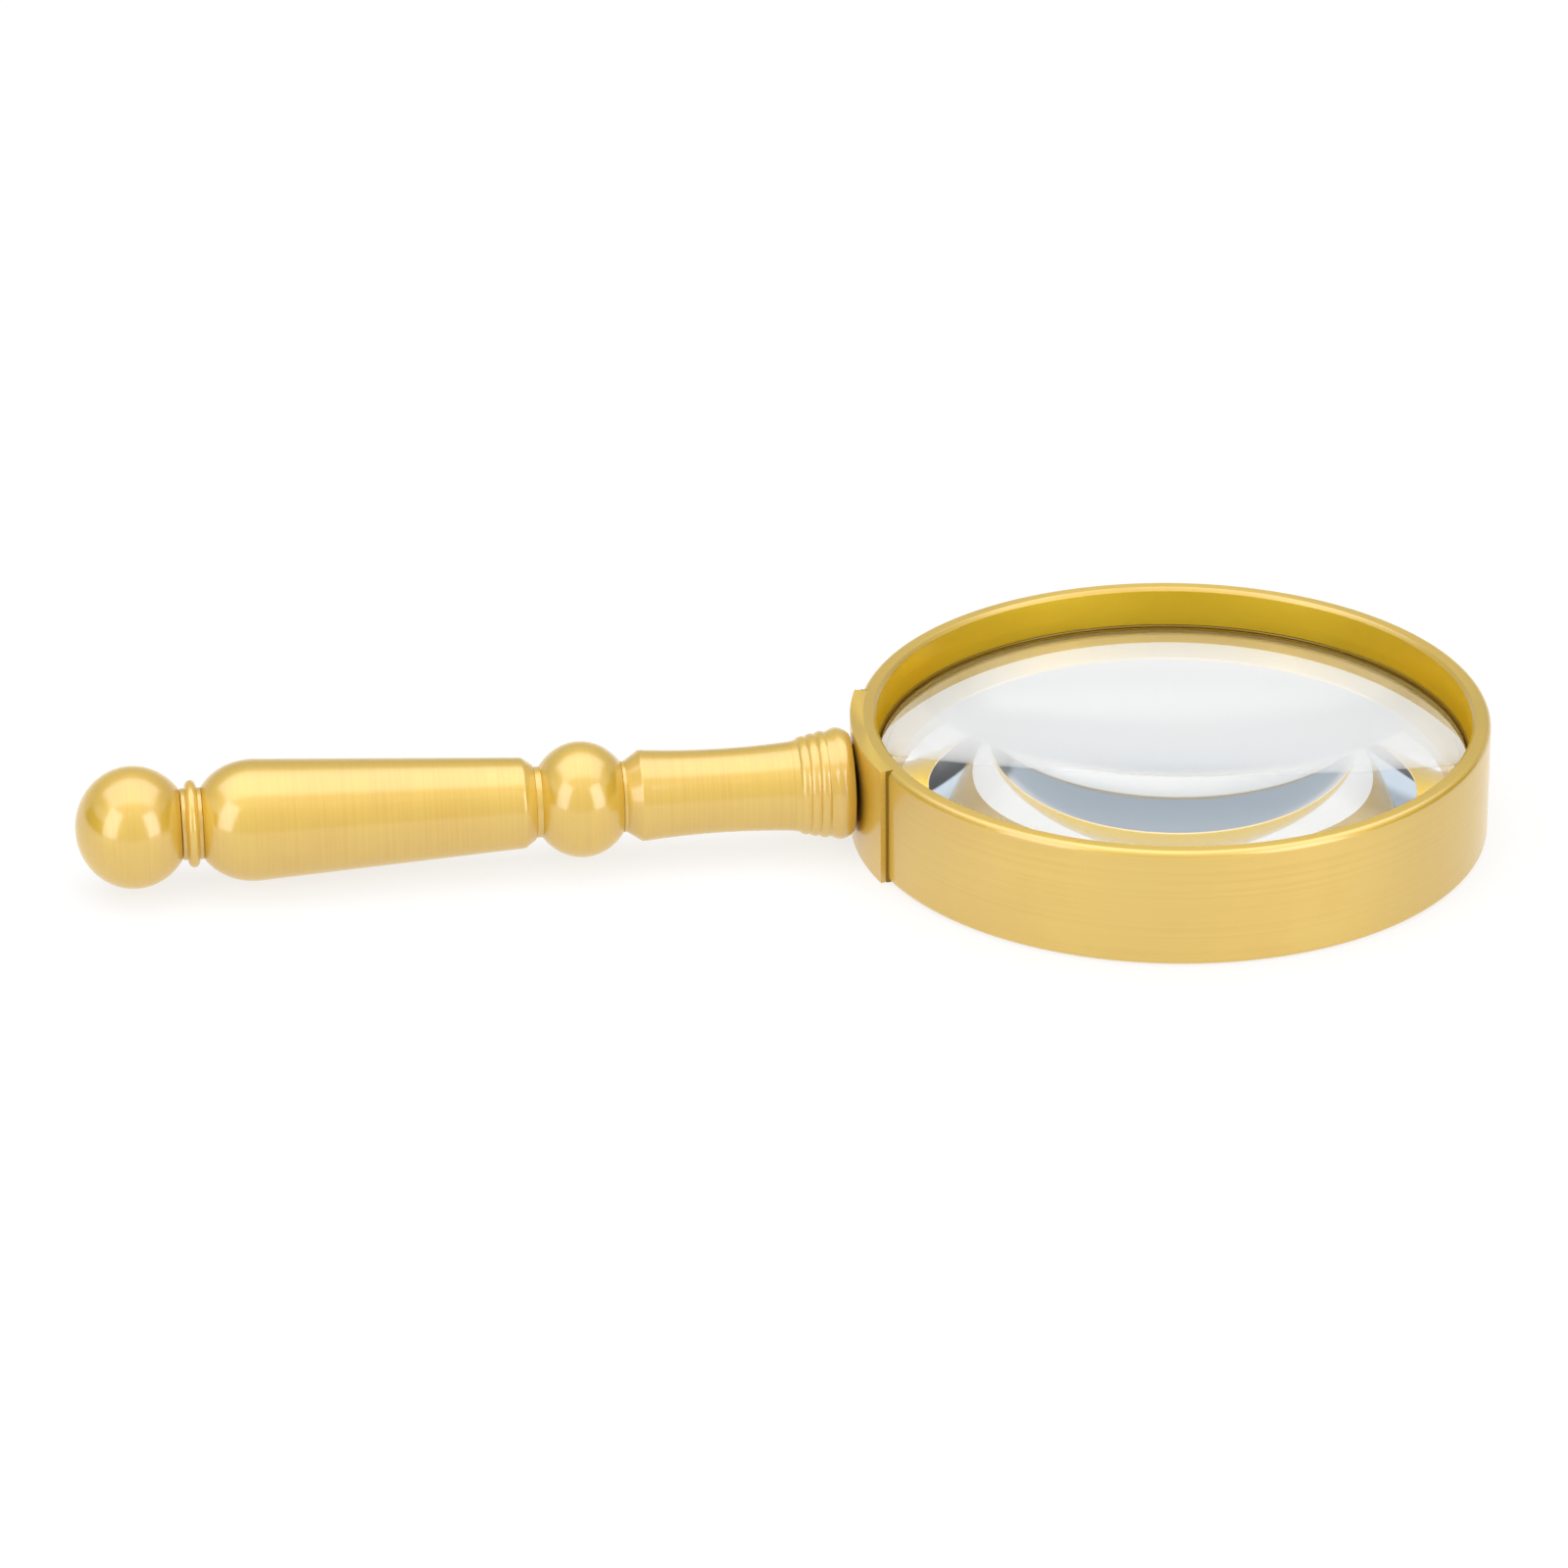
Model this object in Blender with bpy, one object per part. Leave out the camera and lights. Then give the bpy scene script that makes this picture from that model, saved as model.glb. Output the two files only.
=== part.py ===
"""Handheld magnifying glass: a brass ring with a biconvex lens, and a turned brass handle.

The glass lies flat with its lens facing up. The ring stands on its lower rim, and the handle
points towards -X. Every round piece is an outline of (along, radius) points that is spun round
its own axis. The ring's pieces are measured upwards from the ring's lower rim, and the handle's
pieces are measured outwards from the ring's wall, along the handle's axis.
"""

import math

import bmesh
import bpy

# Driving dimensions, in millimetres
MM = 0.001
FIT_GAP = 0.3

RING_RADIUS = 42.0
RING_HEIGHT = 16.2
RING_WALL = 2.5
OUTER_ROUNDING = 0.9
INNER_ROUNDING = 0.5

LENS_RADIUS = 39.1
LENS_EDGE = 3.7
LENS_SAG = 4.7
LENS_EDGE_BASE = 6.5

SEAT_STEP = 0.9
GASKET_THICKNESS = 0.7
WIRE_RADIUS = 0.25
WIRE_GAP_DEGREES = 6.0

SADDLE_OUTER_RADIUS = 43.0
SADDLE_HALF_DEGREES = 17.3

AXIS_HEIGHT = 8.74
SCREW_RADIUS = 2.0
SCREW_HEAD_RADIUS = 3.3
SCREW_HEAD_RECESS = 1.5
SCREW_TIP = 10.8
SCREW_SLOT_WIDTH = 0.8
SCREW_SLOT_DEPTH = 0.7

BORE_RADIUS = SCREW_RADIUS + FIT_GAP
WASHER_THICKNESS = 1.0
WASHER_RADIUS = 4.9

# Stations along the handle, from the ring's outer wall, in millimetres
FERRULE_FRONT = 1.35
FERRULE_BACK = 9.2
SPIGOT_BACK = 16.0
SPIGOT_RADIUS = 4.0
FRONT_GRIP_BACK = 30.9
KNUCKLE_CENTRE = 37.2
KNUCKLE_RADIUS = 7.68
KNUCKLE_HALF_LENGTH = 6.8
KNUCKLE_FRONT = 31.95
KNUCKLE_BACK = 42.4
REAR_GRIP_FRONT = 43.5
REAR_GRIP_FULL = 80.2
REAR_GRIP_BACK = 86.9
REAR_GRIP_RADIUS = 8.05
BEAD_CENTRE = 88.5
BEAD_RADIUS = 5.78
BEAD_HALF_WIDTH = 0.8
POMMEL_FRONT = 90.1
POMMEL_CENTRE = 96.2
POMMEL_RADIUS = 8.09
POMMEL_HALF_LENGTH = 7.6
NECK_RADIUS = 4.7
TIE_ROD_BACK = 99.0

RING_SEGMENTS = 72
HANDLE_SEGMENTS = 36
ROD_SEGMENTS = 20
LENS_ARC_STEPS = 6

# Places that follow from the driving dimensions, in millimetres
POMMEL_TIP = POMMEL_CENTRE + POMMEL_HALF_LENGTH
RING_CENTRE_X = POMMEL_TIP / 2
RING_BORE = RING_RADIUS - RING_WALL
SEAT_TOP = LENS_EDGE_BASE - 2 * FIT_GAP - GASKET_THICKNESS
WIRE_CENTRE_HEIGHT = LENS_EDGE_BASE + LENS_EDGE + WIRE_RADIUS + FIT_GAP
WIRE_CENTRE_RADIUS = RING_BORE + 0.05


def clear_scene():
    for thing in list(bpy.data.objects):
        bpy.data.objects.remove(thing)


def make_material(name, colour, roughness, metallic, transmission=0.0):
    material = bpy.data.materials.new(name)
    material.use_nodes = True
    shader = material.node_tree.nodes["Principled BSDF"]
    shader.inputs["Base Color"].default_value = (*colour, 1.0)
    shader.inputs["Roughness"].default_value = roughness
    shader.inputs["Metallic"].default_value = metallic
    shader.inputs["Transmission Weight"].default_value = transmission
    return material


def make_axis(name, x, z, tilt):
    """An empty whose local Z is the axis that its pieces are spun round."""
    axis = bpy.data.objects.new(name, None)
    axis.location = (x * MM, 0.0, z * MM)
    axis.rotation_euler = (0.0, tilt, 0.0)
    bpy.context.scene.collection.objects.link(axis)
    return axis


def ellipse_points(centre, half_length, radius, first, last, count, power=2.0):
    """Outline points on a (super)ellipse about the axis, from one station to another."""
    start = math.asin(max(-1.0, min(1.0, (first - centre) / half_length)))
    end = math.asin(max(-1.0, min(1.0, (last - centre) / half_length)))
    points = []
    for step in range(count + 1):
        along = half_length * math.sin(start + (end - start) * step / count)
        share = min(1.0, abs(along / half_length)) ** power
        points.append((centre + along, radius * (1.0 - share) ** (1.0 / power)))
    return points


def arc_points(centre, radius, start_degrees, end_degrees, count):
    """Outline points on a circle in the outline's own plane."""
    points = []
    for step in range(count + 1):
        angle = math.radians(start_degrees + (end_degrees - start_degrees) * step / count)
        points.append((centre[0] + radius * math.cos(angle), centre[1] + radius * math.sin(angle)))
    return points


def finish_object(name, bm, material, parent):
    bmesh.ops.remove_doubles(bm, verts=bm.verts, dist=1e-7)
    bmesh.ops.recalc_face_normals(bm, faces=bm.faces)
    mesh = bpy.data.meshes.new(name)
    bm.to_mesh(mesh)
    bm.free()
    mesh.shade_smooth()
    mesh.set_sharp_from_angle(angle=math.radians(28))
    mesh.materials.append(material)
    piece = bpy.data.objects.new(name, mesh)
    piece.parent = parent
    bpy.context.scene.collection.objects.link(piece)
    return piece


def turned(name, outline, material, parent, segments, closed=True):
    """Spin an outline of (along, radius) points a full turn round the parent's local Z."""
    bm = bmesh.new()
    verts = [bm.verts.new((radius * MM, 0.0, along * MM)) for along, radius in outline]
    edges = [bm.edges.new(pair) for pair in zip(verts, verts[1:])]
    if closed:
        edges.append(bm.edges.new((verts[-1], verts[0])))
    bmesh.ops.spin(
        bm,
        geom=verts + edges,
        axis=(0.0, 0.0, 1.0),
        cent=(0.0, 0.0, 0.0),
        angle=math.tau,
        steps=segments,
        use_merge=True,
    )
    return finish_object(name, bm, material, parent)


def swept(name, outline, material, parent, first_degrees, last_degrees, steps):
    """Sweep a closed outline round part of a turn, and cap both ends."""
    bm = bmesh.new()
    start = math.radians(first_degrees)
    verts = []
    for along, radius in outline:
        place = (radius * MM * math.cos(start), radius * MM * math.sin(start), along * MM)
        verts.append(bm.verts.new(place))
    edges = [bm.edges.new(pair) for pair in zip(verts, verts[1:] + verts[:1])]
    bmesh.ops.spin(
        bm,
        geom=verts + edges,
        axis=(0.0, 0.0, 1.0),
        cent=(0.0, 0.0, 0.0),
        angle=math.radians(last_degrees - first_degrees),
        steps=steps,
    )
    bmesh.ops.holes_fill(bm, edges=[edge for edge in bm.edges if edge.is_boundary])
    return finish_object(name, bm, material, parent)


def cut(piece, cutter):
    """Cut a piece with a guide shape that is not itself part of the object."""
    cutter.hide_render = True
    cutter.display_type = "WIRE"
    boolean = piece.modifiers.new("cut_" + cutter.name, "BOOLEAN")
    boolean.operation = "DIFFERENCE"
    boolean.solver = "EXACT"
    boolean.object = cutter


def make_lens_frame(ring_axis, handle_axis, brass):
    """The ring: a rounded band with a seat for the lens and a groove for the snap ring."""
    groove_half = WIRE_RADIUS + FIT_GAP
    groove_radius = WIRE_CENTRE_RADIUS + WIRE_RADIUS + FIT_GAP
    low = OUTER_ROUNDING
    high = RING_HEIGHT - OUTER_ROUNDING
    outer = RING_RADIUS - OUTER_ROUNDING
    inner = RING_BORE + INNER_ROUNDING
    seat = RING_BORE - SEAT_STEP
    outline = arc_points((low, outer), OUTER_ROUNDING, 180, 90, 3)
    outline += arc_points((high, outer), OUTER_ROUNDING, 90, 0, 3)
    outline += arc_points((RING_HEIGHT - INNER_ROUNDING, inner), INNER_ROUNDING, 0, -90, 2)
    outline += [
        (WIRE_CENTRE_HEIGHT + groove_half, RING_BORE),
        (WIRE_CENTRE_HEIGHT + groove_half, groove_radius),
        (WIRE_CENTRE_HEIGHT - groove_half, groove_radius),
        (WIRE_CENTRE_HEIGHT - groove_half, RING_BORE),
        (SEAT_TOP, RING_BORE),
        (SEAT_TOP, seat),
    ]
    outline += arc_points((INNER_ROUNDING, seat + INNER_ROUNDING), INNER_ROUNDING, 270, 180, 2)
    frame = turned("lens_frame", outline, brass, ring_axis, RING_SEGMENTS)

    clearance = SCREW_HEAD_RADIUS + 0.5
    hole = [
        (-6.0, 0.0),
        (-6.0, clearance),
        (-SCREW_HEAD_RECESS, clearance),
        (-SCREW_HEAD_RECESS + clearance - BORE_RADIUS, BORE_RADIUS),
        (3.0, BORE_RADIUS),
        (3.0, 0.0),
    ]
    screw_hole = turned("screw_hole", hole, brass, handle_axis, HANDLE_SEGMENTS, closed=False)
    cut(frame, screw_hole)
    return screw_hole


def make_lens(ring_axis, glass):
    """The biconvex lens: two spherical caps on a short cylindrical edge."""
    curve = (LENS_RADIUS**2 + LENS_SAG**2) / (2 * LENS_SAG)
    half_angle = math.degrees(math.asin(LENS_RADIUS / curve))
    low_centre = LENS_EDGE_BASE - LENS_SAG + curve
    high_centre = LENS_EDGE_BASE + LENS_EDGE + LENS_SAG - curve
    outline = arc_points((low_centre, 0.0), curve, 180, 180 - half_angle, LENS_ARC_STEPS)
    outline += arc_points((high_centre, 0.0), curve, half_angle, 0, LENS_ARC_STEPS)
    turned("lens", outline, glass, ring_axis, RING_SEGMENTS, closed=False)


def make_lens_gasket(ring_axis, rubber):
    """The soft ring on the seat, under the lens's edge."""
    base = SEAT_TOP + FIT_GAP
    inner = RING_BORE - SEAT_STEP + 0.05
    outer = RING_BORE - FIT_GAP - 0.05
    outline = [
        (base, inner),
        (base, outer),
        (base + GASKET_THICKNESS, outer),
        (base + GASKET_THICKNESS, inner),
    ]
    turned("lens_gasket", outline, rubber, ring_axis, RING_SEGMENTS)


def make_lens_snap_ring(ring_axis, brass):
    """The split spring wire that keeps the lens down on its seat; its gap faces -Y."""
    circle = arc_points((WIRE_CENTRE_HEIGHT, WIRE_CENTRE_RADIUS), WIRE_RADIUS, 0, 360, 6)[:-1]
    first = -90.0 + WIRE_GAP_DEGREES / 2
    last = 270.0 - WIRE_GAP_DEGREES / 2
    swept("lens_snap_ring", circle, brass, ring_axis, first, last, RING_SEGMENTS - 2)


def make_saddle_plate(ring_axis, screw_hole, brass):
    """The curved plate between the ring and the handle, as tall as the ring."""
    inner = RING_RADIUS + FIT_GAP
    corner = 0.15
    outline = [
        (0.0, inner),
        (0.0, SADDLE_OUTER_RADIUS - corner),
        (corner, SADDLE_OUTER_RADIUS),
        (RING_HEIGHT - corner, SADDLE_OUTER_RADIUS),
        (RING_HEIGHT, SADDLE_OUTER_RADIUS - corner),
        (RING_HEIGHT, inner),
    ]
    first = 180 - SADDLE_HALF_DEGREES
    last = 180 + SADDLE_HALF_DEGREES
    saddle = swept("saddle_plate", outline, brass, ring_axis, first, last, 10)
    cut(saddle, screw_hole)


def make_handle_screw(handle_axis, steel):
    """The countersunk screw through the ring and saddle that the handle screws onto."""
    head = -SCREW_HEAD_RECESS
    tip_chamfer = 0.4
    outline = [
        (head, 0.0),
        (head, SCREW_HEAD_RADIUS),
        (head + SCREW_HEAD_RADIUS - SCREW_RADIUS, SCREW_RADIUS),
        (SCREW_TIP - tip_chamfer, SCREW_RADIUS),
        (SCREW_TIP, SCREW_RADIUS - tip_chamfer),
        (SCREW_TIP, 0.0),
    ]
    screw = turned("handle_screw", outline, steel, handle_axis, ROD_SEGMENTS, closed=False)

    bm = bmesh.new()
    bmesh.ops.create_cube(bm, size=MM)
    size = (SCREW_SLOT_WIDTH, 4 * SCREW_HEAD_RADIUS, 2 * SCREW_SLOT_DEPTH)
    bmesh.ops.scale(bm, vec=size, verts=bm.verts)
    bmesh.ops.translate(bm, vec=(0.0, 0.0, head * MM), verts=bm.verts)
    cut(screw, finish_object("screw_slot", bm, steel, handle_axis))


def make_joint_washer(handle_axis, fibre):
    """The dark washer between the saddle and the ferrule."""
    front = SADDLE_OUTER_RADIUS - RING_RADIUS + FIT_GAP
    back = front + WASHER_THICKNESS
    inner = BORE_RADIUS + 0.1
    outline = [(front, inner), (front, WASHER_RADIUS), (back, WASHER_RADIUS), (back, inner)]
    turned("joint_washer", outline, fibre, handle_axis, HANDLE_SEGMENTS)


def make_ferrule(handle_axis, brass):
    """The collar at the ring end: a rounded end bead and three smaller beads."""
    pocket = WASHER_RADIUS + FIT_GAP + 0.05
    pocket_floor = FERRULE_FRONT + WASHER_THICKNESS + FIT_GAP
    outline = [(FERRULE_FRONT, pocket), (FERRULE_FRONT, 6.7), (2.0, 7.12), (2.6, 7.38), (3.1, 7.45)]
    outline += [(3.7, 7.38), (4.55, 6.98)]
    for centre, radius in ((5.2, 7.08), (6.5, 6.81), (7.75, 6.51)):
        outline += [(centre - 0.35, radius - 0.02), (centre, radius), (centre + 0.35, radius - 0.1)]
        outline += [(centre + 0.63, radius - 0.24)]
    outline += [
        (8.8, 6.09),
        (FERRULE_BACK, 5.96),
        (FERRULE_BACK, SPIGOT_RADIUS),
        (SPIGOT_BACK, SPIGOT_RADIUS),
        (SPIGOT_BACK, BORE_RADIUS),
        (pocket_floor, BORE_RADIUS),
        (pocket_floor, pocket),
    ]
    turned("ferrule", outline, brass, handle_axis, HANDLE_SEGMENTS)


def make_front_grip(handle_axis, brass):
    """The slim waisted section between the ferrule and the knuckle."""
    waist_station = 18.5
    waist_radius = 5.56
    flare = 0.0044
    front = FERRULE_BACK + FIT_GAP
    shoulder = 29.1
    outline = []
    for step in range(8):
        along = front + (shoulder - front) * step / 7
        outline.append((along, waist_radius + flare * (along - waist_station) ** 2))
    socket = SPIGOT_RADIUS + FIT_GAP + 0.05
    outline += [
        (29.6, 5.86),
        (FRONT_GRIP_BACK, 5.07),
        (FRONT_GRIP_BACK, BORE_RADIUS),
        (SPIGOT_BACK + FIT_GAP + 0.1, BORE_RADIUS),
        (SPIGOT_BACK + FIT_GAP + 0.1, socket),
        (front, socket),
    ]
    turned("front_grip", outline, brass, handle_axis, HANDLE_SEGMENTS)


def make_neck_collar(name, grip_end, next_end, handle_axis, brass):
    """A thin spacer ring that shows as a bright line in the neck between two sections."""
    front = grip_end + FIT_GAP
    back = next_end - FIT_GAP
    corner = 0.12
    inner = BORE_RADIUS + 0.1
    outline = [
        (front, inner),
        (front, NECK_RADIUS - corner),
        (front + corner, NECK_RADIUS),
        (back - corner, NECK_RADIUS),
        (back, NECK_RADIUS - corner),
        (back, inner),
    ]
    turned(name, outline, brass, handle_axis, HANDLE_SEGMENTS)


def make_knuckle_ball(handle_axis, brass):
    """The slightly flattened ball between the two grips."""
    outline = ellipse_points(
        KNUCKLE_CENTRE, KNUCKLE_HALF_LENGTH, KNUCKLE_RADIUS, KNUCKLE_FRONT, KNUCKLE_BACK, 12
    )
    outline += [(KNUCKLE_BACK, BORE_RADIUS), (KNUCKLE_FRONT, BORE_RADIUS)]
    turned("knuckle_ball", outline, brass, handle_axis, HANDLE_SEGMENTS)


def make_rear_grip(handle_axis, brass):
    """The long tapered section, widest near its rounded back end."""
    outline = [(REAR_GRIP_FRONT, 5.1), (44.3, 5.68), (44.9, 5.93), (45.5, 6.05), (62.0, 7.0)]
    outline += ellipse_points(
        REAR_GRIP_FULL, 8.3, REAR_GRIP_RADIUS, REAR_GRIP_FULL, REAR_GRIP_BACK, 8, power=2.15
    )
    outline += [(REAR_GRIP_BACK, BORE_RADIUS), (REAR_GRIP_FRONT, BORE_RADIUS)]
    turned("rear_grip", outline, brass, handle_axis, HANDLE_SEGMENTS)


def make_bead_ring(handle_axis, brass):
    """The thin ring ahead of the pommel, with a short neck on each side."""
    front = REAR_GRIP_BACK + FIT_GAP
    back = POMMEL_FRONT - FIT_GAP
    outline = [(front, NECK_RADIUS)]
    for point in arc_points((BEAD_CENTRE, 0.0), BEAD_HALF_WIDTH, 180, 0, 6):
        outline.append((point[0], NECK_RADIUS + point[1] * (BEAD_RADIUS - NECK_RADIUS) / BEAD_HALF_WIDTH))
    outline += [(back, NECK_RADIUS), (back, BORE_RADIUS), (front, BORE_RADIUS)]
    turned("bead_ring", outline, brass, handle_axis, HANDLE_SEGMENTS)


def make_pommel_ball(handle_axis, brass):
    """The ball at the end of the handle, with a blind hole for the tie rod."""
    outline = ellipse_points(
        POMMEL_CENTRE, POMMEL_HALF_LENGTH, POMMEL_RADIUS, POMMEL_FRONT, POMMEL_TIP, 14
    )
    hole_end = TIE_ROD_BACK + FIT_GAP + 0.1
    outline = [(hole_end, 0.0), (hole_end, BORE_RADIUS), (POMMEL_FRONT, BORE_RADIUS)] + outline
    turned("pommel_ball", outline, brass, handle_axis, HANDLE_SEGMENTS, closed=False)


def make_tie_rod(handle_axis, steel):
    """The rod that clamps the handle's sections between the ferrule and the pommel."""
    front = SCREW_TIP + 0.8
    chamfer = 0.3
    outline = [
        (front, 0.0),
        (front, SCREW_RADIUS - chamfer),
        (front + chamfer, SCREW_RADIUS),
        (TIE_ROD_BACK - chamfer, SCREW_RADIUS),
        (TIE_ROD_BACK, SCREW_RADIUS - chamfer),
        (TIE_ROD_BACK, 0.0),
    ]
    turned("tie_rod", outline, steel, handle_axis, ROD_SEGMENTS, closed=False)


def main():
    clear_scene()
    brass = make_material("satin_brass", (0.78, 0.55, 0.20), 0.3, 1.0)
    bright_steel = make_material("bright_steel", (0.55, 0.55, 0.56), 0.3, 1.0)
    rubber = make_material("amber_rubber", (0.62, 0.46, 0.16), 0.5, 0.0)
    fibre = make_material("black_fibre", (0.03, 0.03, 0.03), 0.7, 0.0)
    glass = make_material("lens_glass", (0.97, 0.99, 0.98), 0.0, 0.0, transmission=1.0)

    ring_axis = make_axis("ring_axis", RING_CENTRE_X, 0.0, 0.0)
    handle_axis = make_axis(
        "handle_axis", RING_CENTRE_X - RING_RADIUS, AXIS_HEIGHT, -math.pi / 2
    )

    screw_hole = make_lens_frame(ring_axis, handle_axis, brass)
    make_lens(ring_axis, glass)
    make_lens_gasket(ring_axis, rubber)
    make_lens_snap_ring(ring_axis, brass)
    make_saddle_plate(ring_axis, screw_hole, brass)
    make_handle_screw(handle_axis, bright_steel)
    make_joint_washer(handle_axis, fibre)
    make_ferrule(handle_axis, brass)
    make_front_grip(handle_axis, brass)
    make_neck_collar("front_neck_collar", FRONT_GRIP_BACK, KNUCKLE_FRONT, handle_axis, brass)
    make_knuckle_ball(handle_axis, brass)
    make_neck_collar("rear_neck_collar", KNUCKLE_BACK, REAR_GRIP_FRONT, handle_axis, brass)
    make_rear_grip(handle_axis, brass)
    make_bead_ring(handle_axis, brass)
    make_pommel_ball(handle_axis, brass)
    make_tie_rod(handle_axis, bright_steel)


main()
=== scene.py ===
"""The finished look of a brass hand magnifier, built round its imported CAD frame.

Every round piece is an outline of (along, radius) points in millimetres, spun round its own axis:
the ring's pieces are measured upwards from the lower rim, and the handle's pieces outwards from
the ring's wall, as in the CAD. The finer outlines follow the CAD ones and close its fitting gaps.
"""

import math

import bmesh
import bpy
from mathutils import Matrix, Vector


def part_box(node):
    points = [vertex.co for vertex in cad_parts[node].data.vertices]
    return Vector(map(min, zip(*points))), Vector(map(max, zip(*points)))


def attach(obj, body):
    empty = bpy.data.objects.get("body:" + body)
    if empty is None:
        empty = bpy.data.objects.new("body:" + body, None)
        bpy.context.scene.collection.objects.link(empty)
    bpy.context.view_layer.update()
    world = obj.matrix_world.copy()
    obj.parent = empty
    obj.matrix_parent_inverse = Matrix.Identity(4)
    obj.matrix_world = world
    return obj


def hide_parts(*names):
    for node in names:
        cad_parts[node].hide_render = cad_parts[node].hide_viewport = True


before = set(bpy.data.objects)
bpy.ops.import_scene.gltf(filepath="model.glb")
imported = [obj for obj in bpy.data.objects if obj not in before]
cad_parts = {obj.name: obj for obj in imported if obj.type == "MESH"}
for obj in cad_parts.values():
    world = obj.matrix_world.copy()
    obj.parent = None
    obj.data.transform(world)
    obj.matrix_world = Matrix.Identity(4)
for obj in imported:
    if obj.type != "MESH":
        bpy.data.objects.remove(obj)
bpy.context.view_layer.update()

MM = 0.001

# The camera: lengths in metres, angles in degrees, and its lens and sensor in millimetres
CAMERA_TARGET = Vector((-0.0003, 0.0, 0.0091))
CAMERA_AZIMUTH = -6.87
CAMERA_ELEVATION = 26.09
CAMERA_DISTANCE = 0.9177
CAMERA_ROLL = -0.56
CAMERA_CLIP = (0.01, 50.0)
CAMERA_LENS = 159.1
CAMERA_SENSOR = 36.0

# Places read from the frame, in metres
ring_low, ring_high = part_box("lens_frame")
pommel_low, pommel_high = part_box("pommel_ball")
lens_low, lens_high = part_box("lens")
RING_CENTRE = Vector(((ring_low.x + ring_high.x) / 2, 0.0, 0.0))
HANDLE_HEIGHT = (pommel_low.z + pommel_high.z) / 2
HANDLE_START = Vector((ring_low.x, 0.0, HANDLE_HEIGHT))

# The ring, in millimetres
RING_RADIUS = (ring_high.x - ring_low.x) / 2 / MM
RING_HEIGHT = (ring_high.z - ring_low.z) / MM
RING_WALL = 2.5
RING_BORE = RING_RADIUS - RING_WALL
OUTER_ROUNDING = 0.9
INNER_BEVEL = 0.45
BEVEL_ROUNDING = 0.1
SEAT_STEP = 0.9
SEAT_TOP = 5.2
SEAT_CORNER = 0.05
SEAT_EDGE = 0.12
FOOT_ROUNDING = 0.35

# The lens and the split wire that holds it, in millimetres
LENS_RADIUS = (lens_high.x - lens_low.x) / 2 / MM
LENS_EDGE_BASE = 6.5
LENS_EDGE = 3.7
LENS_SAG = 4.7
LENS_BEVEL = 0.06
WIRE_RADIUS = 0.22
WIRE_GAP = 0.03
WIRE_HEIGHT = LENS_EDGE_BASE + LENS_EDGE + WIRE_RADIUS + WIRE_GAP
WIRE_OFFSET = 0.05
WIRE_SPLIT_DEGREES = 6.0
GROOVE_ROUNDING = 0.03

# The saddle and the thin dark strips along its ends, which paint the shade of the joints, in
# millimetres
SADDLE_THICKNESS = 1.0
SADDLE_HALF_DEGREES = 17.3
SADDLE_GAP = 0.01
SADDLE_CORNER = 0.1
SEAM_THICKNESS = 0.2
SEAM_DEGREES = 0.3

# Stations along the handle, outwards from the ring's wall, in millimetres
SECTION_GAP = 0.01
WASHER_FRONT = 1.05
WASHER_BACK = 2.25
FERRULE_FRONT = 1.35
POCKET_FLOOR = 2.65
FERRULE_BACK = 9.35
SPIGOT_BACK = 16.0
WAIST = 18.5
FRONT_GRIP_BACK = 31.32
KNUCKLE_FRONT = 31.8
KNUCKLE_CENTRE = 37.2
KNUCKLE_BACK = 42.55
REAR_GRIP_FRONT = 43.33
REAR_GRIP_SHOULDER = 46.0
REAR_GRIP_FULL = 80.2
REAR_GRIP_BACK = 87.1
BEAD_FRONT = 87.12
BEAD_CENTRE = 88.5
BEAD_BACK = 89.88
POMMEL_FRONT = 89.95
POMMEL_CENTRE = 96.2
POMMEL_HOLE_END = 99.4
POMMEL_TIP = 103.8

# Radii, half lengths and curves of the handle's sections, in millimetres
BORE_RADIUS = 2.3
WIDE_BORE_RADIUS = 2.4
WASHER_RADIUS = 4.9
POCKET_RADIUS = 5.25
SPIGOT_RADIUS = 4.0
SOCKET_RADIUS = 4.35
SOCKET_CLEARANCE = 0.4
WAIST_RADIUS = 5.56
WAIST_FLARE = 0.0044
GRIP_END_RADIUS = 4.74
COLLAR_RADIUS = 4.71
KNUCKLE_RADIUS = 7.68
KNUCKLE_HALF_LENGTH = 6.8
REAR_GRIP_SHOULDER_RADIUS = 6.08
REAR_GRIP_RADIUS = 8.05
REAR_GRIP_END_LENGTH = 8.3
REAR_GRIP_END_POWER = 2.15
BEAD_NECK_RADIUS = 4.75
BEAD_FOOT_RADIUS = 4.8
BEAD_RADIUS = 5.78
BEAD_HALF_WIDTH = 0.8
POMMEL_RADIUS = 8.09
POMMEL_HALF_LENGTH = 7.6

# The ferrule's small beads: centre, half width, the (front, back) radius of the foot, and height
FERRULE_BEADS = (
    (5.2, 0.62, (6.93, 6.78), 0.22),
    (6.5, 0.62, (6.70, 6.52), 0.2),
    (7.78, 0.60, (6.44, 6.2), 0.2),
)
BEAD_FULLNESS = 0.8

# How finely the pieces are made
RING_SEGMENTS = 240
HANDLE_SEGMENTS = 160
LENS_STEPS = 48
WIRE_STEPS = 14
LIP_STEPS = 8
ROUNDING_DEGREES = 10
SHARP_DEGREES = 35
MERGE_DISTANCE = 1e-8

# The brass: under lacquer; bare inside the ring and made lighter there, as painted light; darkened as
# painted shade; and its tint at a glancing view
BRASS = (0.735, 0.515, 0.075)
BARE_BRASS_PAINTED_LIGHT = (0.86, 0.60, 0.035)
SHADE_DARKENED_BRASS = (0.30, 0.20, 0.03)
EDGE_TINT = (1.0, 0.75, 0.25)
LACQUER_ROUGHNESS = 0.18
LACQUER_IOR = 2.05

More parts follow.
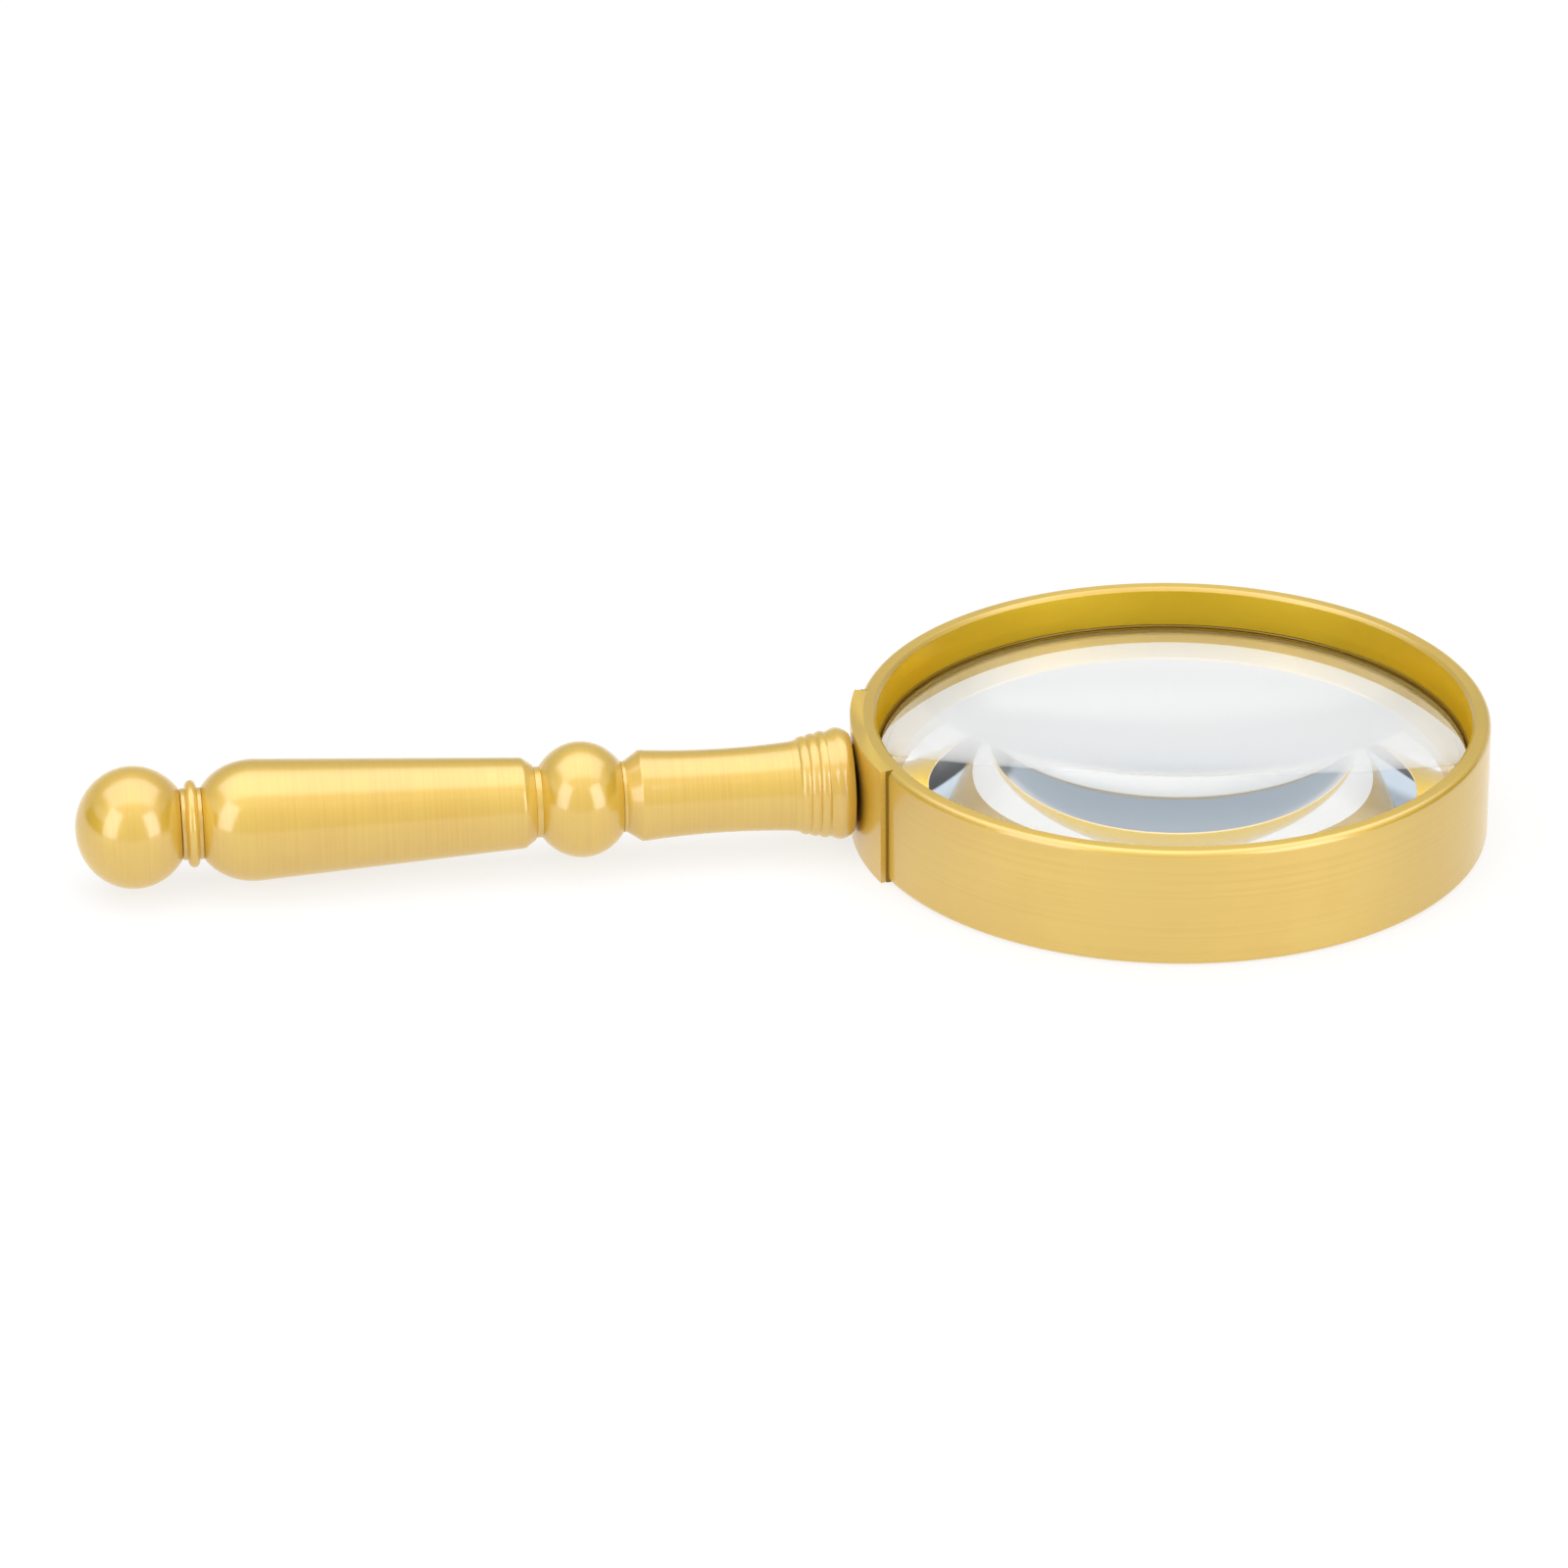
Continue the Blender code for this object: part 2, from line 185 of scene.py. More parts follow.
# The brass's finish: shares of its tint and roughness, its noises, the turn that sets the gloss
# across the brushed lines, and the noise values between which the roughness changes
BRASS_TONE = (0.985, 1.015)
BRASS_POLISH = (0.85, 1.2)
LINE_NOISE_ROUGHNESS = 0.65
CLOUD_SCALE = 90.0
BLAST_SCALE = 5200.0
BLAST_SHARE = 0.25
QUARTER_TURN = 0.25
FINISH_SPREAD = (0.3, 0.7)

# The plain finishes: shares of their colour and of their roughness, and the depth of their grain
GRAIN_TONE = (0.6, 1.4)
GRAIN_POLISH = (0.8, 1.2)
GRAIN_DEPTH = 0.00003
# The lens's ground edge is tinted gold: a painted reflection of the brass wall beside it
GROUND_EDGE_BRASS_REFLECTION = (0.62, 0.43, 0.12)
FIBRE = (0.012, 0.011, 0.01)
RUBBER = (0.55, 0.38, 0.09)
STEEL = (0.45, 0.45, 0.46)
GLASS = (0.985, 0.995, 0.99)
GLASS_IOR = 1.52

# The studio's surroundings, as the light that they send
WALL_FRONT = (0.66, 0.66, 0.66)
WALL_BACK = (0.352, 0.41, 0.473)
WALL_SIDE = (0.65, 0.75, 0.86)
WALL_LOW = (0.7, 0.7, 0.7)
WALL_GAP = (0.0, 0.0, 0.0)
CEILING = (0.9, 0.9, 0.9)
BACKDROP = (1.0, 1.0, 1.0)
PANEL = (2.15, 2.15, 2.15)

# Where the surroundings change, as the parts of a unit direction: from the first number to the second
FRONT_TO_BACK = (-0.25, 0.3)
LOW_TO_BACK = (0.14, 0.27)
FRONT_TO_SIDE = (0.82, 0.87)
GAP_TO_SIDE = (0.385, 0.41)
GAP_SLOPE = -0.075
WALL_TO_CEILING = (0.62, 0.78)

# The overhead panel's edges: degrees up from the front horizon and over, and sideways as a share
PANEL_FRONT_EDGE = (64.0, 78.0)
PANEL_BACK_EDGE = (120.0, 138.0)
PANEL_SIDE_EDGE = (0.6, 0.75)

# The softboxes: distance, width and height in metres, then the direction and radiance of each
SOFTBOX_DISTANCE = 0.8
SOFTBOX_WIDTH = 0.42
SOFTBOX_HEIGHT = 0.66
SOFTBOXES = (("left_softbox", -56.0, 24.0, 2.1), ("right_softbox", 39.0, 25.0, 2.3))

# The floor: its size and drop in metres, and a paper that glows, so that it stays evenly pale
FLOOR_HALF_SIZE = 4.0
FLOOR_DROP = 0.00002
FLOOR_COLOUR = (0.22, 0.22, 0.22)
FLOOR_GLOW_COLOUR = (1.0, 1.0, 1.0)
FLOOR_GLOW = 0.74
FLOOR_ROUGHNESS = 0.9
FLOOR_SPECULAR = 0.1

# Light's bounces: enough for the paths that turn back and forth inside the lens
GLASS_BOUNCES = 24
GLOSSY_BOUNCES = 16


# ---------------------------------------------------------------- outlines

def arc(centre, radius, start, end, steps):
    """Points on a circle in the outline's own plane, from one angle to another in degrees."""
    points = []
    for step in range(steps + 1):
        angle = math.radians(start + (end - start) * step / steps)
        points.append((centre[0] + radius * math.cos(angle), centre[1] + radius * math.sin(angle)))
    return points


def ellipse(centre, half_length, radius, first, last, steps, power=2.0):
    """Points on a (super)ellipse about the axis, from one station to another."""
    start = math.asin(max(-1.0, min(1.0, (first - centre) / half_length)))
    end = math.asin(max(-1.0, min(1.0, (last - centre) / half_length)))
    points = []
    for step in range(steps + 1):
        along = half_length * math.sin(start + (end - start) * step / steps)
        share = min(1.0, abs(along / half_length)) ** power
        points.append((centre + along, radius * (1.0 - share) ** (1.0 / power)))
    return points


def bead_arc(centre, half_width, foot, height, steps=10):
    """A small raised bead; foot is the (front, back) radius that it stands on."""
    points = []
    for step in range(steps + 1):
        share = step / steps
        along = centre + half_width * (2 * share - 1)
        base = foot[0] + (foot[1] - foot[0]) * share
        points.append((along, base + height * math.sin(math.pi * share) ** BEAD_FULLNESS))
    return points


def rounded(corners, closed=True):
    """An outline whose corners are (along, radius, rounding); each rounding becomes an arc."""
    points = []
    count = len(corners)
    for index, (along, radius, rounding) in enumerate(corners):
        is_end = not closed and index in (0, count - 1)
        here = Vector((along, radius))
        if rounding <= 0 or is_end:
            points.append((along, radius))
            continue
        before = (Vector(corners[index - 1][:2]) - here).normalized()
        after = (Vector(corners[(index + 1) % count][:2]) - here).normalized()
        turn = before.angle(after)
        cut = rounding / math.tan(turn / 2)
        middle = here + (before + after).normalized() * (rounding / math.sin(turn / 2))
        arm_first = here + before * cut - middle
        arm_last = here + after * cut - middle
        sweep = math.pi - turn
        steps = max(2, math.ceil(math.degrees(sweep) / ROUNDING_DEGREES))
        for step in range(steps + 1):
            share = step / steps
            blend = math.sin((1 - share) * sweep) * arm_first + math.sin(share * sweep) * arm_last
            point = middle + blend / math.sin(sweep)
            points.append((point.x, point.y))
    return points


# ---------------------------------------------------------------- meshes

def handle_matrix():
    """Local +Z runs along the handle, away from the ring."""
    return Matrix.Translation(HANDLE_START) @ Matrix.Rotation(-math.pi / 2, 4, "Y")


def ring_matrix():
    """Local +Z runs up from the middle of the ring's lower rim."""
    return Matrix.Translation(RING_CENTRE)


def finish_piece(name, bm, material, matrix, body):
    """A piece from a bmesh: normals out, smooth but for its sharp edges, riding on its body."""
    bmesh.ops.remove_doubles(bm, verts=bm.verts, dist=MERGE_DISTANCE)
    bmesh.ops.recalc_face_normals(bm, faces=bm.faces)
    mesh = bpy.data.meshes.new(name)
    bm.to_mesh(mesh)
    bm.free()
    mesh.shade_smooth()
    mesh.set_sharp_from_angle(angle=math.radians(SHARP_DEGREES))
    mesh.materials.append(material)
    piece = bpy.data.objects.new(name, mesh)
    piece.matrix_world = matrix
    bpy.context.scene.collection.objects.link(piece)
    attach(piece, body)
    return piece


def spun(name, outline, material, matrix, body, segments, closed=True, start=0.0, turn=360.0):
    """Spin an outline round local Z; part of a turn gets both ends capped."""
    bm = bmesh.new()
    angle = math.radians(start)
    verts = []
    for along, radius in outline:
        place = (radius * MM * math.cos(angle), radius * MM * math.sin(angle), along * MM)
        verts.append(bm.verts.new(place))
    edges = [bm.edges.new(pair) for pair in zip(verts, verts[1:])]
    if closed:
        edges.append(bm.edges.new((verts[-1], verts[0])))
    bmesh.ops.spin(
        bm,
        geom=verts + edges,
        axis=(0.0, 0.0, 1.0),
        cent=(0.0, 0.0, 0.0),
        angle=math.radians(turn),
        steps=segments,
        use_merge=turn == 360.0,
    )
    if turn != 360.0:
        bmesh.ops.holes_fill(bm, edges=[edge for edge in bm.edges if edge.is_boundary])
    return finish_piece(name, bm, material, matrix, body)


# ---------------------------------------------------------------- material nodes

def node(tree, kind, **values):
    """A new node with the settings given."""
    made = tree.nodes.new(kind)
    for key, value in values.items():
        setattr(made, key, value)
    return made


def maths(tree, operation, *values):
    """The output of a Math node; each value is a number or another node's output."""
    made = node(tree, "ShaderNodeMath", operation=operation)
    for socket, value in zip(made.inputs, values):
        if isinstance(value, float):
            socket.default_value = value
        else:
            tree.links.new(value, socket)
    return made.outputs[0]


def noise(tree, vector, scale, detail, roughness=0.5):
    """The output of a Noise Texture node, from 0 to 1."""
    made = node(tree, "ShaderNodeTexNoise")
    made.inputs["Scale"].default_value = scale
    made.inputs["Detail"].default_value = detail
    made.inputs["Roughness"].default_value = roughness
    tree.links.new(vector, made.inputs["Vector"])
    return made.outputs["Fac"]


def mixed(tree, share, first, second):
    """A colour between two; each is a colour or the output of another mix."""
    mix = node(tree, "ShaderNodeMix", data_type="RGBA")
    tree.links.new(share, mix.inputs["Factor"])
    for socket, colour in (("A", first), ("B", second)):
        if isinstance(colour, tuple):
            mix.inputs[socket].default_value = (*colour, 1.0)
        else:
            tree.links.new(colour, mix.inputs[socket])
    return mix.outputs["Result"]


def smooth_step(tree, value, low, high):
    """0 below low and 1 above high, with a smooth rise between them."""
    step = node(tree, "ShaderNodeMapRange", interpolation_type="SMOOTHSTEP")
    step.inputs["From Min"].default_value = low
    step.inputs["From Max"].default_value = high
    tree.links.new(value, step.inputs["Value"])
    return step.outputs["Result"]


def vary_tone(tree, shader, share, colour, tones):
    """Base colour from a darker to a lighter shade of one colour."""
    darker, lighter = [tuple(min(1.0, part * tone) for part in colour) for tone in tones]
    tree.links.new(mixed(tree, share, darker, lighter), shader.inputs["Base Color"])


def vary_roughness(tree, shader, share, roughness, shares, spread=(0.0, 1.0)):
    """Roughness from one share of its value to another, as share goes over its spread."""
    change = node(tree, "ShaderNodeMapRange")
    change.inputs["From Min"].default_value = spread[0]
    change.inputs["From Max"].default_value = spread[1]
    change.inputs["To Min"].default_value = roughness * shares[0]
    change.inputs["To Max"].default_value = roughness * shares[1]
    tree.links.new(share, change.inputs["Value"])
    tree.links.new(change.outputs["Result"], shader.inputs["Roughness"])


def add_bump(tree, shader, height, depth):
    """Relief from a noise; depth is what a height of 1 stands for, in metres."""
    bump = node(tree, "ShaderNodeBump")
    bump.inputs["Strength"].default_value = 1.0
    bump.inputs["Distance"].default_value = depth
    tree.links.new(height, bump.inputs["Height"])
    tree.links.new(bump.outputs["Normal"], shader.inputs["Normal"])


# ---------------------------------------------------------------- materials

def new_material(name):
    """A material with its node tree and its Principled BSDF."""
    material = bpy.data.materials.new(name)
    material.use_nodes = True
    tree = material.node_tree
    return material, tree, tree.nodes["Principled BSDF"]


def brass(name, tint, roughness, lines, anisotropy=0.0, lacquer=1.0):
    """Brass with fine lines brushed round the piece's local Z axis, and a coat of lacquer.

    lines says how quickly they change along the axis and round it, and how deep they are in metres.
    """
    along_axis, round_axis, line_depth = lines
    material, tree, shader = new_material(name)
    shader.inputs["Metallic"].default_value = 1.0
    shader.inputs["Anisotropic"].default_value = anisotropy
    shader.inputs["Anisotropic Rotation"].default_value = QUARTER_TURN
    shader.inputs["Specular Tint"].default_value = (*EDGE_TINT, 1.0)
    shader.inputs["Coat Weight"].default_value = lacquer
    shader.inputs["Coat Roughness"].default_value = LACQUER_ROUGHNESS
    shader.inputs["Coat IOR"].default_value = LACQUER_IOR

    # Brushed lines, broad clouds, and the fine grain of blasting under the lacquer
    place = node(tree, "ShaderNodeTexCoord").outputs["Object"]
    stretch = node(tree, "ShaderNodeMapping")
    stretch.inputs["Scale"].default_value = (round_axis, round_axis, along_axis)
    tree.links.new(place, stretch.inputs["Vector"])
    brushed = noise(tree, stretch.outputs[0], 1.0, 4.0, LINE_NOISE_ROUGHNESS)
    clouds = noise(tree, place, CLOUD_SCALE, 3.0)
    blasted = noise(tree, place, BLAST_SCALE, 2.0)

    # Tone and roughness follow the lines and the clouds, half each
    share = maths(tree, "MULTIPLY_ADD", brushed, 0.5, maths(tree, "MULTIPLY", clouds, 0.5))
    vary_tone(tree, shader, share, tint, BRASS_TONE)
    vary_roughness(tree, shader, share, roughness, BRASS_POLISH, FINISH_SPREAD)
    height = maths(tree, "MULTIPLY_ADD", blasted, BLAST_SHARE, brushed)
    add_bump(tree, shader, height, line_depth)

    tangent = node(tree, "ShaderNodeTangent", direction_type="RADIAL", axis="Z")
    tree.links.new(tangent.outputs[0], shader.inputs["Tangent"])
    return material


def grained(name, colour, roughness, grain_scale, metallic=0.0):
    """A plain surface with a fine uneven grain."""
    material, tree, shader = new_material(name)
    shader.inputs["Metallic"].default_value = metallic
    place = node(tree, "ShaderNodeTexCoord").outputs["Object"]
    grain = noise(tree, place, grain_scale, 4.0)
    vary_tone(tree, shader, grain, colour, GRAIN_TONE)
    vary_roughness(tree, shader, grain, roughness, GRAIN_POLISH)
    add_bump(tree, shader, grain, GRAIN_DEPTH)
    return material


def lens_glass():
    """Clear polished crown glass, very slightly green."""
    material, _, shader = new_material("lens_glass")
    shader.inputs["Base Color"].default_value = (*GLASS, 1.0)
    shader.inputs["Roughness"].default_value = 0.0
    shader.inputs["IOR"].default_value = GLASS_IOR
    shader.inputs["Transmission Weight"].default_value = 1.0
    return material


# ---------------------------------------------------------------- the head

def make_frame_ring(material, inner_material):
    """The ring, with the lens's seat and the wire's groove; the wall above the seat is bare, in a
    lighter brass that paints light on it.
    """
    groove = WIRE_RADIUS + WIRE_GAP
    seat = RING_BORE - SEAT_STEP
    corners = [
        (0.0, RING_RADIUS, OUTER_ROUNDING),
        (RING_HEIGHT, RING_RADIUS, OUTER_ROUNDING),
        (RING_HEIGHT, RING_BORE + INNER_BEVEL, BEVEL_ROUNDING),
        (RING_HEIGHT - INNER_BEVEL, RING_BORE, BEVEL_ROUNDING),
        (WIRE_HEIGHT + groove, RING_BORE, GROOVE_ROUNDING),
        (WIRE_HEIGHT + groove, RING_BORE + groove, GROOVE_ROUNDING),
        (WIRE_HEIGHT - groove, RING_BORE + groove, GROOVE_ROUNDING),
        (WIRE_HEIGHT - groove, RING_BORE, GROOVE_ROUNDING),
        (SEAT_TOP, RING_BORE, SEAT_CORNER),
        (SEAT_TOP, seat, SEAT_EDGE),
        (0.0, seat, FOOT_ROUNDING),
    ]
    ring = spun(
        "frame_ring", rounded(corners), material, ring_matrix(), "head", RING_SEGMENTS
    )
    ring.data.materials.append(inner_material)
    on_bore = RING_BORE + 0.01
    for face in ring.data.polygons:
        away = math.hypot(face.center.x, face.center.y) / MM
        height = face.center.z / MM
        if away < on_bore and SEAT_TOP < height < RING_HEIGHT - INNER_BEVEL:
            face.material_index = 1
    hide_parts("lens_frame")


def make_lens(material, edge_material):
    """The biconvex lens: two spherical caps, and a ground edge with a fine bevel, whose gold tint is
    a painted reflection of the brass.
    """
    curve = (LENS_RADIUS**2 + LENS_SAG**2) / (2 * LENS_SAG)
    half_angle = math.degrees(math.asin(LENS_RADIUS / curve))
    bevelled = half_angle * (1 - LENS_BEVEL / LENS_RADIUS)
    low_centre = LENS_EDGE_BASE - LENS_SAG + curve
    high_centre = LENS_EDGE_BASE + LENS_EDGE + LENS_SAG - curve
    outline = arc((low_centre, 0.0), curve, 180, 180 - bevelled, LENS_STEPS)
    outline += [(LENS_EDGE_BASE + LENS_BEVEL, LENS_RADIUS)]
    outline += [(LENS_EDGE_BASE + LENS_EDGE - LENS_BEVEL, LENS_RADIUS)]
    outline += arc((high_centre, 0.0), curve, bevelled, 0, LENS_STEPS)
    lens = spun(
        "lens_glass", outline, material, ring_matrix(), "head", RING_SEGMENTS, closed=False
    )
    lens.data.materials.append(edge_material)
    for face in lens.data.polygons:
        faces_sideways = abs(face.normal.z) < 0.5
        if faces_sideways:
            face.material_index = 1
    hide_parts("lens")


def make_snap_wire(material):
    """The split wire above the lens's edge; its gap faces -Y. Its dark brass paints the shade in its
    groove.
    """
    centre = (WIRE_HEIGHT, RING_BORE + WIRE_OFFSET)
    circle = arc(centre, WIRE_RADIUS, 0, 360, WIRE_STEPS)[:-1]
    start = -90.0 + WIRE_SPLIT_DEGREES / 2
    turn = 360.0 - WIRE_SPLIT_DEGREES
    wire = spun(
        "snap_wire", circle, material, ring_matrix(), "head", RING_SEGMENTS, start=start, turn=turn
    )
    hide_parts("lens_snap_ring")


def make_saddle_part(name, material, outer, start, turn):
    """A curved part that follows the ring's wall and its roundings, out to the outer radius."""
    follow = OUTER_ROUNDING + SADDLE_GAP
    rounding_centre = RING_RADIUS - OUTER_ROUNDING
    lip = math.degrees(math.acos(OUTER_ROUNDING / follow))
    lip_radius = rounding_centre + follow * math.sin(math.radians(lip))
    corners = [
        (0.0, lip_radius, 0),
        (0.0, outer, SADDLE_CORNER),
        (RING_HEIGHT, outer, SADDLE_CORNER),
        (RING_HEIGHT, lip_radius, 0),
    ]
    outline = rounded(corners, closed=False)
    high_centre = (RING_HEIGHT - OUTER_ROUNDING, rounding_centre)
    low_centre = (OUTER_ROUNDING, rounding_centre)
    outline += arc(high_centre, follow, lip, 90, LIP_STEPS)[1:]
    outline += arc(low_centre, follow, 90, 180 - lip, LIP_STEPS)[:-1]
    steps = max(2, round(turn * RING_SEGMENTS / 180))
    part = spun(name, outline, material, ring_matrix(), "head", steps, start=start, turn=turn)
    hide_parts("saddle_plate")


def make_saddle(material, joint_shade_material):
    """The plate, and a thin dark strip along each of its ends: painted shade of the joint's gap."""
    near_end = 180 + SADDLE_HALF_DEGREES
    far_end = 180 - SADDLE_HALF_DEGREES
    outer = RING_RADIUS + SADDLE_THICKNESS
    seam_outer = RING_RADIUS + SEAM_THICKNESS
    make_saddle_part("saddle", material, outer, far_end, 2 * SADDLE_HALF_DEGREES)
    make_saddle_part("near_seam", joint_shade_material, seam_outer, near_end, SEAM_DEGREES)
    make_saddle_part("far_seam", joint_shade_material, seam_outer, far_end - SEAM_DEGREES, SEAM_DEGREES)


# ---------------------------------------------------------------- the handle

def handle_piece(name, outline, material, body, replaced, closed=True):
    """A section of the handle, spun round the handle's axis."""
    piece = spun(name, outline, material, handle_matrix(), body, HANDLE_SEGMENTS, closed=closed)
    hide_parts(replaced)


def make_washer(material):
    """The washer in the ferrule's pocket, which shows as a black line beside the saddle."""
    corners = [
        (WASHER_FRONT, WIDE_BORE_RADIUS, 0.1),
        (WASHER_FRONT, WASHER_RADIUS, 0.2),
        (WASHER_BACK, WASHER_RADIUS, 0.2),
        (WASHER_BACK, WIDE_BORE_RADIUS, 0.1),
    ]
    outline = rounded(corners)
    handle_piece("fibre_washer", outline, material, "washer", "joint_washer")


def make_ferrule(material):
    """The handle's end: a rounded end bead, three smaller beads, and a spigot inside the grip."""
    end_bead = [
        (FERRULE_FRONT, POCKET_RADIUS, 0),
        (FERRULE_FRONT, 6.62, 0.25),
        (2.2, 7.25, 1.2),
        (3.15, 7.52, 1.6),
        (4.5, 6.92, 0),
    ]
    outline = rounded(end_bead, closed=False)
    for bead in FERRULE_BEADS:
        outline += bead_arc(*bead)
    back_and_inside = [
        (8.45, 6.12, 0),
        (8.9, 6.02, 0.4),
        (FERRULE_BACK, 5.93, 0),
        (FERRULE_BACK, SPIGOT_RADIUS, 0),
        (SPIGOT_BACK, SPIGOT_RADIUS, 0.1),
        (SPIGOT_BACK, BORE_RADIUS, 0),
        (POCKET_FLOOR, BORE_RADIUS, 0),
        (POCKET_FLOOR, POCKET_RADIUS, 0),
    ]
    outline += rounded(back_and_inside, closed=False)
    handle_piece("ferrule_turned", outline, material, "handle", "ferrule")


def make_front_grip(material):
    """The slim waisted section: its radius grows as the square of the distance from the waist."""
    front = FERRULE_BACK + SECTION_GAP
    first = 9.5
    last = 29.0
    steps = 24
    outline = [(front, 5.928)]
    for step in range(steps + 1):
        along = first + (last - first) * step / steps
        outline.append((along, WAIST_RADIUS + WAIST_FLARE * (along - WAIST) ** 2))
    back_and_inside = [
        (29.05, 6.04, 0),
        (29.4, 6.05, 0.5),
        (FRONT_GRIP_BACK, GRIP_END_RADIUS, 0),
        (FRONT_GRIP_BACK, BORE_RADIUS, 0),
        (SPIGOT_BACK + SOCKET_CLEARANCE, BORE_RADIUS, 0),
        (SPIGOT_BACK + SOCKET_CLEARANCE, SOCKET_RADIUS, 0),
        (front, SOCKET_RADIUS, 0),
    ]
    outline += rounded(back_and_inside, closed=False)
    handle_piece("front_grip_turned", outline, material, "handle", "front_grip")


def make_collar(name, replaced, grip_end, next_end, material):
    """A thin ring that fills the neck between two sections."""
    front = grip_end + SECTION_GAP
    back = next_end - SECTION_GAP
    outline = [
        (front, WIDE_BORE_RADIUS),
        (front, COLLAR_RADIUS),
        (back, COLLAR_RADIUS),
        (back, WIDE_BORE_RADIUS),
    ]
    handle_piece(name, outline, material, "handle", replaced)


def make_knuckle(material):
    """The slightly flattened ball between the two grips."""
    outline = ellipse(
        KNUCKLE_CENTRE, KNUCKLE_HALF_LENGTH, KNUCKLE_RADIUS, KNUCKLE_FRONT, KNUCKLE_BACK, 60
    )
    outline += [(KNUCKLE_BACK, BORE_RADIUS), (KNUCKLE_FRONT, BORE_RADIUS)]
    handle_piece("knuckle", outline, material, "handle", "knuckle_ball")


def make_rear_grip(material):
    """The long tapered section, widest where its rounded back end begins."""
    shoulder = [
        (REAR_GRIP_FRONT, GRIP_END_RADIUS, 0),
        (43.5, 5.0, 0.1),
        (44.9, 6.02, 0.9),
        (REAR_GRIP_SHOULDER, REAR_GRIP_SHOULDER_RADIUS, 0),
    ]
    outline = rounded(shoulder, closed=False)
    length = REAR_GRIP_FULL - REAR_GRIP_SHOULDER
    swell = REAR_GRIP_RADIUS - REAR_GRIP_SHOULDER_RADIUS
    steps = 20
    for step in range(1, steps):
        share = step / steps
        point = (REAR_GRIP_SHOULDER + length * share, REAR_GRIP_SHOULDER_RADIUS + swell * share)
        outline.append(point)
    outline += ellipse(
        REAR_GRIP_FULL,
        REAR_GRIP_END_LENGTH,
        REAR_GRIP_RADIUS,
        REAR_GRIP_FULL,
        REAR_GRIP_BACK,
        32,
        power=REAR_GRIP_END_POWER,
    )
    outline += [(REAR_GRIP_BACK, BORE_RADIUS), (REAR_GRIP_FRONT, BORE_RADIUS)]
    handle_piece("rear_grip_turned", outline, material, "handle", "rear_grip")


def make_bead(material):
    """The thin raised ring ahead of the pommel, with a short neck on each side."""
    front_neck = [
        (BEAD_FRONT, BORE_RADIUS, 0),
        (BEAD_FRONT, BEAD_NECK_RADIUS, 0.15),
        (87.65, BEAD_NECK_RADIUS, 0),
    ]
    back_neck = [
        (89.35, BEAD_NECK_RADIUS, 0),
        (BEAD_BACK, BEAD_NECK_RADIUS, 0.15),
        (BEAD_BACK, BORE_RADIUS, 0),
    ]
    rise = BEAD_RADIUS - BEAD_FOOT_RADIUS
    steps = 16
    outline = rounded(front_neck, closed=False)
    for step in range(steps + 1):
        angle = math.pi * step / steps
        along = BEAD_CENTRE - BEAD_HALF_WIDTH * math.cos(angle)
        outline.append((along, BEAD_FOOT_RADIUS + rise * math.sin(angle)))
    outline += rounded(back_neck, closed=False)
    handle_piece("bead", outline, material, "bead", "bead_ring")


def make_pommel(material):
    """The ball at the handle's end, with a blind hole for the tie rod."""
    outline = [(POMMEL_HOLE_END, 0.0), (POMMEL_HOLE_END, BORE_RADIUS), (POMMEL_FRONT, BORE_RADIUS)]
    outline += ellipse(
        POMMEL_CENTRE, POMMEL_HALF_LENGTH, POMMEL_RADIUS, POMMEL_FRONT, POMMEL_TIP, 72
    )
    handle_piece(
        "pommel", outline, material, "pommel", "pommel_ball", closed=False
    )


# ---------------------------------------------------------------- the studio

def direction(azimuth, elevation):
    """Unit vector towards a place round the object; azimuth 0 is -Y and 90 is +X."""
    a = math.radians(azimuth)
    e = math.radians(elevation)
    return Vector((math.sin(a) * math.cos(e), -math.cos(a) * math.cos(e), math.sin(e)))


def facing_back(back):
    """A turn whose -Z points against the vector given, with +Y upwards."""
    return (-back).to_track_quat("-Z", "Y").to_matrix().to_4x4()


def make_camera():
    """A long lens that looks down on the object from its front, a little to the left."""
    data = bpy.data.cameras.new("camera")
    data.lens = CAMERA_LENS
    data.sensor_width = CAMERA_SENSOR
    data.clip_start, data.clip_end = CAMERA_CLIP
    camera = bpy.data.objects.new("camera", data)
    back = direction(CAMERA_AZIMUTH, CAMERA_ELEVATION)
    place = Matrix.Translation(CAMERA_TARGET + back * CAMERA_DISTANCE)
    roll = Matrix.Rotation(math.radians(CAMERA_ROLL), 4, "Z")
    camera.matrix_world = place @ facing_back(back) @ roll
    bpy.context.scene.collection.objects.link(camera)
    bpy.context.scene.camera = camera


def make_softbox(name, azimuth, elevation, radiance):
    """A rectangular light that faces the object and stays out of the camera's sight."""
    data = bpy.data.lights.new(name, "AREA")
    data.shape = "RECTANGLE"
    data.size = SOFTBOX_WIDTH
    data.size_y = SOFTBOX_HEIGHT
    data.energy = radiance * math.pi * SOFTBOX_WIDTH * SOFTBOX_HEIGHT
    light = bpy.data.objects.new(name, data)
    back = direction(azimuth, elevation)
    light.matrix_world = Matrix.Translation(back * SOFTBOX_DISTANCE) @ facing_back(back)
    light.visible_camera = False
    bpy.context.scene.collection.objects.link(light)


